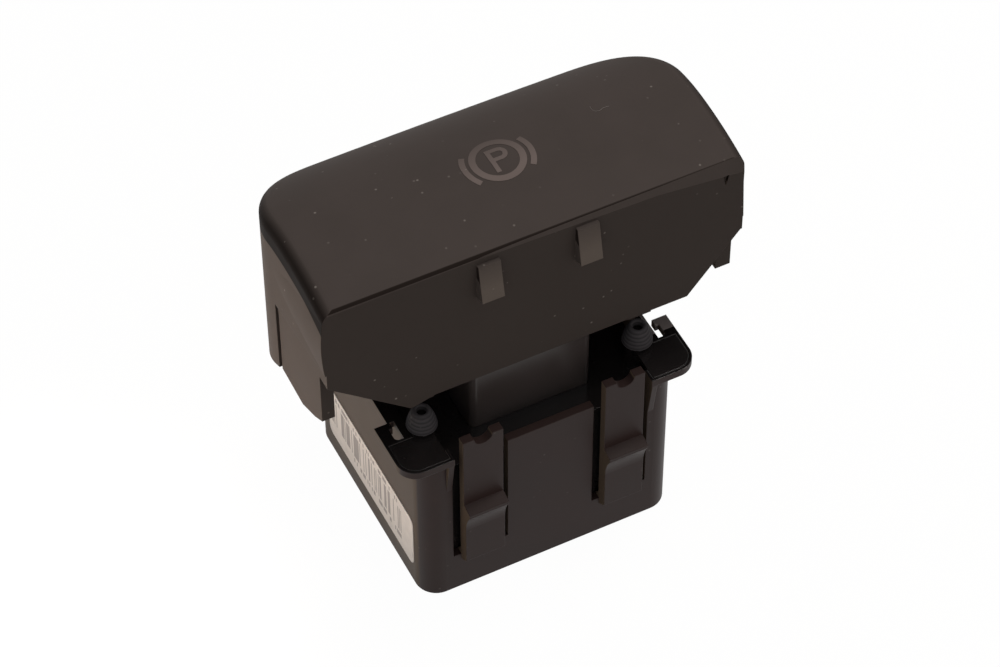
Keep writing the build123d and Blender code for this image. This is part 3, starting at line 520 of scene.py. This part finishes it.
def joinPieces(pieces, name):
    # makes one piece of several and leaves it selected
    bpy.ops.object.select_all(action="DESELECT")
    for piece in pieces:
        piece.select_set(True)
    bpy.context.view_layer.objects.active = pieces[0]
    bpy.ops.object.join()
    bpy.context.object.name = name
    return bpy.context.object


def flatRing(outer, inner, segments):
    # flat ring about the origin: a filled circle, inset, with the middle taken out
    bpy.ops.object.select_all(action="DESELECT")
    bpy.ops.mesh.primitive_circle_add(vertices=segments, radius=outer * mm, fill_type="NGON")
    bpy.ops.object.mode_set(mode="EDIT")
    bpy.ops.mesh.select_all(action="SELECT")
    bpy.ops.mesh.inset(thickness=(outer - inner) * mm, use_even_offset=True)
    bpy.ops.mesh.delete(type="FACE")
    bpy.ops.object.mode_set(mode="OBJECT")
    return bpy.context.object


def cutAway(piece, point, way):
    # takes off what lies on this side of a plane
    bpy.ops.object.select_all(action="DESELECT")
    piece.select_set(True)
    bpy.context.view_layer.objects.active = piece
    bpy.ops.object.mode_set(mode="EDIT")
    bpy.ops.mesh.select_all(action="SELECT")
    bpy.ops.mesh.bisect(plane_co=point, plane_no=way, clear_outer=True)
    bpy.ops.object.mode_set(mode="OBJECT")


def flatBar(left, right, low, high, cuts):
    # flat rectangle between these limits in mm
    bpy.ops.object.select_all(action="DESELECT")
    bpy.ops.mesh.primitive_plane_add(size=1)
    bpy.ops.transform.resize(value=((right - left) * mm, (high - low) * mm, 1),
                             center_override=(0, 0, 0))
    bpy.ops.transform.translate(value=((left + right) / 2 * mm, (low + high) / 2 * mm, 0))
    bpy.ops.object.transform_apply(location=True, rotation=False, scale=True)
    bpy.ops.object.mode_set(mode="EDIT")
    bpy.ops.mesh.select_all(action="SELECT")
    bpy.ops.mesh.subdivide(number_cuts=cuts)
    bpy.ops.object.mode_set(mode="OBJECT")
    return bpy.context.object


def copyTo(source, name, place):
    # a copy with its own mesh, moved by this much in mm
    piece = source.copy()
    piece.data = source.data.copy()
    bpy.context.scene.collection.objects.link(piece)
    bpy.ops.object.select_all(action="DESELECT")
    piece.select_set(True)
    bpy.context.view_layer.objects.active = piece
    bpy.ops.transform.translate(value=[v * mm for v in place])
    bpy.ops.object.transform_apply(location=True, rotation=False, scale=False)
    piece.name = name
    return piece


# the parking-brake mark on the crown: ring, two side arcs and the letter, in mm from its middle
symbolLook = dict(middle=(0.95, -0.5), ring=(4.78, 3.6), arc=(6.4, 5.4), arcFront=37.0,
                  arcBack=29.0, stroke=0.82, letterLeft=-1.35, letterLow=-2.7, letterHigh=2.57,
                  bowlMiddle=0.75, bowlOut=1.46, segments=96, bowlSegments=48, stemCuts=11,
                  barCuts=3, above=100.0, lift=0.03, film=0.03, fadeFrom=-3.0, fadeTo=5.5,
                  fade=0.75)
ringPiece = flatRing(*symbolLook["ring"], symbolLook["segments"])
arcPieces = []
back = math.radians(symbolLook["arcBack"])
front = math.radians(symbolLook["arcFront"])
for side in (1, -1):
    arc = flatRing(*symbolLook["arc"], symbolLook["segments"])
    cutAway(arc, (0, 0, 0), (-side * math.sin(back), math.cos(back), 0))
    cutAway(arc, (0, 0, 0), (-side * math.sin(front), -math.cos(front), 0))
    arcPieces.append(arc)
stroke = symbolLook["stroke"]
bowlY = symbolLook["letterHigh"] - symbolLook["bowlOut"]
bowl = flatRing(symbolLook["bowlOut"], symbolLook["bowlOut"] - stroke, symbolLook["bowlSegments"])
cutAway(bowl, (0, 0, 0), (-1, 0, 0))
bpy.ops.transform.translate(value=(symbolLook["bowlMiddle"] * mm, bowlY * mm, 0))
bpy.ops.object.transform_apply(location=True, rotation=False, scale=False)
bowlLow = bowlY - symbolLook["bowlOut"]
stemLeft, letterHigh = symbolLook["letterLeft"], symbolLook["letterHigh"]
stemRight = stemLeft + stroke
letter = [bowl,
          flatBar(stemLeft, stemRight, symbolLook["letterLow"], letterHigh, symbolLook["stemCuts"])]
for low, high in ((letterHigh - stroke, letterHigh), (bowlLow, bowlLow + stroke)):
    letter.append(flatBar(stemRight, symbolLook["bowlMiddle"], low, high, symbolLook["barCuts"]))
symbol = joinPieces([ringPiece] + arcPieces + letter, "parking_mark")
middleX, middleY = symbolLook["middle"]
bpy.ops.transform.translate(value=(middleX * mm, middleY * mm, symbolLook["above"] * mm))
bpy.ops.object.transform_apply(location=True, rotation=True, scale=True)
wrap = symbol.modifiers.new("ontoCrown", "SHRINKWRAP")
wrap.target = nodes["cap"]
wrap.wrap_method = "PROJECT"
wrap.use_project_x = False
wrap.use_project_y = False
wrap.use_project_z = True
wrap.use_negative_direction = True
wrap.use_positive_direction = False
wrap.offset = symbolLook["lift"] * mm
film = symbol.modifiers.new("film", "SOLIDIFY")
film.thickness = symbolLook["film"] * mm
film.offset = 1.0
for modifier in ("ontoCrown", "film"):
    bpy.ops.object.modifier_apply(modifier=modifier)
markMat, markTree, markShader = plastics["markLayer"][:3]
markPlace = add(markTree, "ShaderNodeTexCoord")
markParts = add(markTree, "ShaderNodeSeparateXYZ", None, {"Vector": markPlace.outputs["Object"]})
markBack = add(markTree, "ShaderNodeMapRange", None,
               {"Value": markParts.outputs["Y"], "From Min": symbolLook["fadeFrom"] * mm,
                "From Max": symbolLook["fadeTo"] * mm, "To Min": 0.0, "To Max": symbolLook["fade"]})
markTone = add(markTree, "ShaderNodeMix", {"data_type": "RGBA"},
               {"Factor": markBack.outputs["Result"],
                "A": markShader.inputs["Base Color"].links[0].from_socket,
                "B": srgb(plasticLooks["capAbs"]["color"])})
markTree.links.new(markTone.outputs["Result"], markShader.inputs["Base Color"])
paint([symbol], markMat)
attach(symbol, "cap_body")
print("mark done")


# rubber buffers: hollow bells with fine ridges, turned ring by ring; radii and heights in mm
bellLook = dict(places=((-20.3, -14.4), (20.3, -14.4), (-20.3, 14.4), (20.3, 14.4)),
                nodes=("buffer_front_left", "buffer_front_right", "buffer_rear_left",
                       "buffer_rear_right"), low=38.2, high=41.8, foot=2.7, top=1.65, bore=0.9,
                ridge=0.09, ridges=5, segments=40, ridgeFade=0.4, taper=1.5, rim=0.25, lip=0.15,
                lipDeep=0.2, weld=0.005, smooth=60)


def bellProfile(look):
    # radius and height, up the outside, over the rim and down the bore, closed at the foot
    rings = [(look["foot"], look["low"])]
    tall = look["high"] - look["low"]
    for i in range(1, 2 * look["ridges"]):
        share = i / (2 * look["ridges"])
        swell = look["ridge"] if i % 2 else -look["ridge"]
        bulge = (look["foot"] - look["top"]) * share ** look["taper"]
        radius = look["foot"] - bulge + swell * (1 - look["ridgeFade"] * share) - look["ridge"]
        rings.append((radius, look["low"] + tall * share))
    rings.append((look["top"] - look["rim"], look["high"]))
    rings.append((look["bore"] + look["lip"], look["high"]))
    rings.append((look["bore"], look["high"] - look["lipDeep"]))
    rings.append((look["bore"], look["low"]))
    rings.append((look["foot"], look["low"]))
    return rings


# the ridges' valleys are painted darker: painted shade in the grooves; a slightly wavering band per
# ridge
rubberMat, rubberTree = plastics["bufferRubber"][:2]
rubberCoat = plastics["bufferRubber"][3]
ridgeLook = dict(pitch=0.72, waver=1.6, valley="#1b1a1b", depth=0.6)
bandPitch = math.pi / 10  # a wave texture at scale 1 repeats after this length
rubberPlace = add(rubberTree, "ShaderNodeTexCoord").outputs["Object"]
valleys = add(rubberTree, "ShaderNodeTexWave", {"wave_type": "BANDS", "bands_direction": "Z"},
              {"Vector": rubberPlace, "Scale": bandPitch / (ridgeLook["pitch"] * mm),
               "Distortion": ridgeLook["waver"], "Detail": 2.0})
valleyShadeShare = add(rubberTree, "ShaderNodeMath", {"operation": "MULTIPLY"},
                  {0: valleys.outputs["Fac"], 1: ridgeLook["depth"]})
valleyShadeTone = add(rubberTree, "ShaderNodeMix", {"data_type": "RGBA"},
                 {"Factor": valleyShadeShare.outputs[0],
                  "A": rubberCoat.inputs["A"].links[0].from_socket, "B": srgb(ridgeLook["valley"])})
rubberTree.links.new(valleyShadeTone.outputs["Result"], rubberCoat.inputs["A"])
rings = bellProfile(bellLook)
bpy.ops.object.select_all(action="DESELECT")
bpy.ops.mesh.primitive_circle_add(vertices=bellLook["segments"], radius=rings[0][0] * mm,
                                  location=(0, 0, rings[0][1] * mm))
bell = bpy.context.object
bpy.ops.object.transform_apply(location=True, rotation=False, scale=False)
bpy.ops.object.mode_set(mode="EDIT")
bpy.ops.mesh.select_all(action="SELECT")
for (oldRadius, oldHeight), (radius, height) in zip(rings, rings[1:]):
    bpy.ops.mesh.extrude_edges_move(TRANSFORM_OT_translate={"value": (0, 0,
                                                                      (height - oldHeight) * mm)})
    bpy.ops.transform.resize(value=(radius / oldRadius, radius / oldRadius, 1),
                             center_override=(0, 0, 0))
bpy.ops.mesh.select_all(action="SELECT")
bpy.ops.mesh.remove_doubles(threshold=bellLook["weld"] * mm)
bpy.ops.mesh.normals_make_consistent(inside=False)
bpy.ops.object.mode_set(mode="OBJECT")
bpy.ops.object.shade_smooth_by_angle(angle=math.radians(bellLook["smooth"]))
for node, (x, y) in zip(bellLook["nodes"], bellLook["places"]):
    piece = copyTo(bell, node + "_bell", (x, y, 0))
    paint([piece], rubberMat)
    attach(piece, "housing_body")
    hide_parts(node)
bpy.data.objects.remove(bell)
print("buffers done")


# centring springs: round wire wound between deck, slider foot and cover. Rows are name, height of
# the kept and of the moving end at the wire's middle, and turns; lengths in mm
springLook = dict(wire=0.3, coil=1.7, sides=8, steps=24, across=15.33, smooth=50)
springRows = (("upper_spring", 29.70, 20.45, 6), ("lower_spring", 12.90, 17.55, 4))
for base, kept, moving, turns in springRows:
    low = min(kept, moving)
    bpy.ops.object.select_all(action="DESELECT")
    bpy.ops.mesh.primitive_circle_add(vertices=springLook["sides"], radius=springLook["wire"] * mm,
                                      location=(springLook["coil"] * mm, 0, 0),
                                      rotation=(math.pi / 2, 0, 0))
    bpy.ops.object.transform_apply(location=True, rotation=True, scale=False)
    coil = bpy.context.object
    wind = coil.modifiers.new("wind", "SCREW")
    wind.steps = springLook["steps"]
    wind.render_steps = springLook["steps"]
    wind.screw_offset = abs(moving - kept) / turns * mm
    wind.iterations = turns
    bpy.ops.object.modifier_apply(modifier="wind")
    bpy.ops.object.mode_set(mode="EDIT")
    bpy.ops.mesh.select_all(action="SELECT")
    bpy.ops.mesh.fill_holes(sides=springLook["sides"])
    bpy.ops.mesh.select_all(action="SELECT")
    bpy.ops.mesh.normals_make_consistent(inside=False)
    bpy.ops.object.mode_set(mode="OBJECT")
    bpy.ops.object.shade_smooth_by_angle(angle=math.radians(springLook["smooth"]))
    for name, side in (("left", -1), ("right", 1)):
        across = side * springLook["across"]
        spring = copyTo(coil, base + "_" + name + "_coil", (across, 0, low))
        paint([spring], metals["springWire"])
        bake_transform(spring)
        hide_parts(base + "_" + name)
    bpy.data.objects.remove(coil)
print("springs done")


# a fibre of lint lying on the crown, behind the mark; points are x and y in mm
lintLook = dict(points=((19.9, 3.5), (19.6, 2.2), (20.7, 1.6), (21.7, 2.2), (22.6, 1.9)),
                thick=0.045, lift=0.03, order=3, round=1, steps=6, grain=0.4, rough=0.9,
                color="#7d7672", shade="#5b5451")
bpy.ops.object.select_all(action="DESELECT")
bpy.ops.curve.primitive_nurbs_path_add()
lint = bpy.context.object
lintCurve = lint.data
lintCurve.splines[0].use_endpoint_u = True
lintCurve.splines[0].order_u = lintLook["order"]
for point, (x, y) in zip(lintCurve.splines[0].points, lintLook["points"]):
    fall = (y - wallLook["crownPeak"]) ** 2 / (2 * wallLook["crownRear"])
    point.co = (x * mm, y * mm, (wallLook["crownTop"] - fall + lintLook["lift"]) * mm, 1)
lintCurve.bevel_depth = lintLook["thick"] * mm
lintCurve.bevel_resolution = lintLook["round"]
lintCurve.resolution_u = lintLook["steps"]
bpy.ops.object.convert(target="MESH")
lint = bpy.context.object
lint.name = "lint_fibre"
lintMat, lintTree = newMaterial("cottonFibre")
lintPlace = add(lintTree, "ShaderNodeTexCoord").outputs["Object"]
lintNoise = add(lintTree, "ShaderNodeTexNoise", None,
                {"Vector": lintPlace, "Scale": 1 / (lintLook["grain"] * mm)})
lintTone = add(lintTree, "ShaderNodeMix", {"data_type": "RGBA"},
               {"Factor": lintNoise.outputs["Fac"], "A": srgb(lintLook["color"]),
                "B": srgb(lintLook["shade"])})
lintShader = add(lintTree, "ShaderNodeBsdfPrincipled", None,
                 {"Base Color": lintTone.outputs["Result"], "Roughness": lintLook["rough"]})
add(lintTree, "ShaderNodeOutputMaterial", None, {"Surface": lintShader.outputs["BSDF"]})
paint([lint], lintMat)
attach(lint, "cap_body")
print("lint done")


# camera: the photograph's place, worked out from the cap's and the housing's corners
cameraView = dict(place=(-0.1805, -0.3635, 0.5192), turn=(39.98, 0.129, -26.754), lens=133.2,
                  sensor=36.0)
cameraData = bpy.data.cameras.new("photoCamera")
cameraData.lens = cameraView["lens"]
cameraData.sensor_width = cameraView["sensor"]
camera = bpy.data.objects.new("photoCamera", cameraData)
camera.location = cameraView["place"]
camera.rotation_euler = [math.radians(a) for a in cameraView["turn"]]
bpy.context.scene.collection.objects.link(camera)
bpy.context.scene.camera = camera


def seenDirectly(tree):
    # 1 where the camera, a reflection or clear plastic looks, 0 for light that falls on the object
    path = add(tree, "ShaderNodeLightPath")
    seen = add(tree, "ShaderNodeMath", {"operation": "MAXIMUM"},
               {0: path.outputs["Is Camera Ray"], 1: path.outputs["Is Glossy Ray"]})
    return add(tree, "ShaderNodeMath", {"operation": "MAXIMUM"},
               {0: seen.outputs[0], 1: path.outputs["Is Transmission Ray"]})


def stageMaterial(look):
    # white to the camera and in reflections, matt pale card to the lamps: it keeps the shadow
    mat, tree = newMaterial("paleCard")
    seen = seenDirectly(tree)
    white = add(tree, "ShaderNodeEmission", None, {"Color": (1, 1, 1, 1), "Strength": look["glow"]})
    matt = add(tree, "ShaderNodeBsdfDiffuse", None, {"Color": srgb(look["card"])})
    mix = add(tree, "ShaderNodeMixShader", None,
              {0: look["white"], 1: matt.outputs[0], 2: white.outputs[0]})
    both = add(tree, "ShaderNodeMixShader", None,
               {0: seen.outputs[0], 1: matt.outputs[0], 2: mix.outputs[0]})
    add(tree, "ShaderNodeOutputMaterial", None, {"Surface": both.outputs[0]})
    return mat


# floor, world and lamps: size in metres, the floor lies this far in mm below the part
stageLook = dict(card="#dcdad6", white=0.96, glow=1.015, sky=0.44, size=6.0, below=0.2)
bpy.ops.object.select_all(action="DESELECT")
bpy.ops.mesh.primitive_plane_add(size=stageLook["size"], location=(0, 0, -stageLook["below"] * mm))
floor = bpy.context.object
floor.name = "floor"
floor.data.materials.append(stageMaterial(stageLook))

world = bpy.data.worlds.new("studio")
world.use_nodes = True
bpy.context.scene.world = world
worldTree = world.node_tree
worldTree.nodes.clear()
worldSeen = seenDirectly(worldTree)
worldLevel = add(worldTree, "ShaderNodeMapRange", None,
                 {"Value": worldSeen.outputs[0], "To Min": stageLook["sky"], "To Max": 1.0})
worldSky = add(worldTree, "ShaderNodeBackground", None,
               {"Color": (1, 1, 1, 1), "Strength": worldLevel.outputs["Result"]})
add(worldTree, "ShaderNodeOutputWorld", None, {"Surface": worldSky.outputs[0]})

lamps = {"keyHigh": dict(place=(0.5, 0.1, 1.2), aim=(0, 0, 0.07), size=0.4, spread=180, power=6.0,
                         color="#fff6f0"),
         "leftWash": dict(place=(-0.09, 0.0, 0.04), aim=(-0.09, 0.0, 0), size=0.03, spread=110,
                          power=0.08, color="#ffeadc"),
         "front": dict(place=(0.1, -1.0, 0.35), aim=(0, 0, 0.05), size=0.5, spread=180, power=1.2,
                       color="#fff0e8"),}
for name, lamp in lamps.items():
    data = bpy.data.lights.new(name, "AREA")
    data.size = lamp["size"]
    data.spread = math.radians(lamp["spread"])
    data.energy = lamp["power"]
    data.color = srgb(lamp["color"])[:3]
    obj = bpy.data.objects.new(name, data)
    obj.location = lamp["place"]
    toward = Vector(lamp["aim"]) - Vector(lamp["place"])
    obj.rotation_euler = toward.to_track_quat("-Z", "Y").to_euler()
    bpy.context.scene.collection.objects.link(obj)
print("camera, floor and lamps done")
bpy.context.scene.view_settings.view_transform = "Standard"
